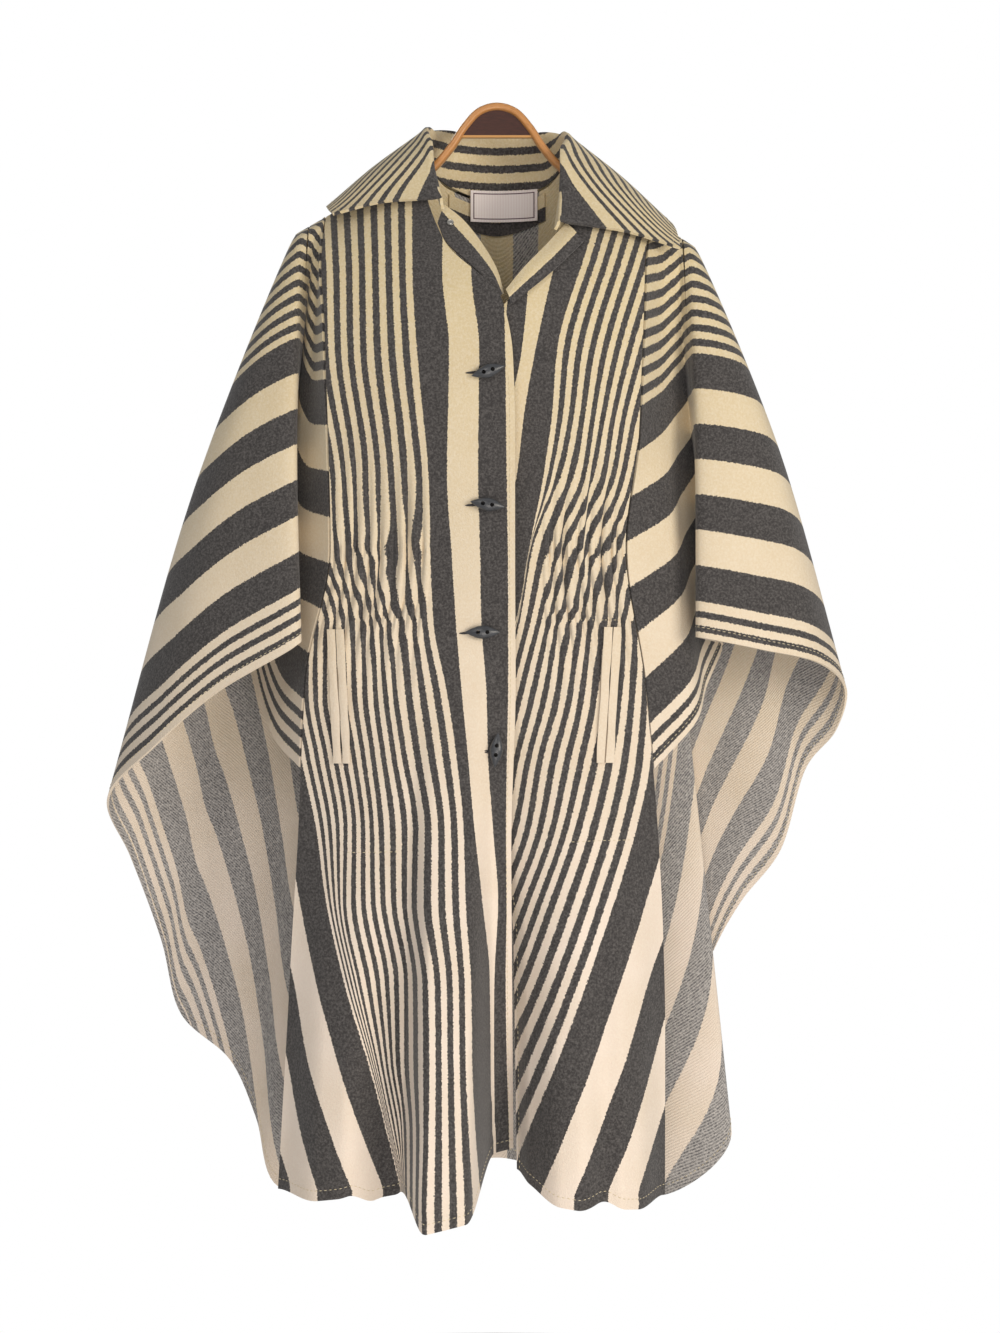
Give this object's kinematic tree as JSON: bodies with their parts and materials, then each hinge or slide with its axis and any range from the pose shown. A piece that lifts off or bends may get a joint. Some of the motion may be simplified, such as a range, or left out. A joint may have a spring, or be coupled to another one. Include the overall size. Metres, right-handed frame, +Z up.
{
  "type": "poncho on a hanger",
  "caption": "Striped wool poncho coat with wide winged sides, a pointed collar, a toggle front, gathered waist and welt pockets, hung on a bent-wood hanger.",
  "frame": {"origin": "middle of the lower edge of the hanger's panel, halfway through its depth", "axes": "+X to the wearer's left, +Y to the garment's back, +Z up"},
  "size_m": [0.741, 0.2909, 1.1064],
  "materials": {
    "striped_wool": "brushed, soft",
    "label_satin": "woven satin",
    "snap_metal": "satin",
    "toggle_horn": "polished",
    "hanger_wood": "varnished",
    "panel_wood": "varnished"
  },
  "bodies": {
    "root": {"front_right": "striped_wool", "front_left": "striped_wool", "wing_front_right": "striped_wool", "wing_front_left": "striped_wool", "back": "striped_wool", "collar": "striped_wool", "facing_right": "striped_wool", "facing_left": "striped_wool", "facing_back": "striped_wool", "welt_right_outer": "striped_wool", "welt_right_inner": "striped_wool", "welt_left_outer": "striped_wool", "welt_left_inner": "striped_wool", "label": "label_satin", "neck_snap": "snap_metal", "toggle_1": "toggle_horn", "toggle_2": "toggle_horn", "toggle_3": "toggle_horn", "toggle_4": "toggle_horn", "hanger_frame": "hanger_wood", "hanger_panel": "panel_wood"}
  },
  "joints": []
}
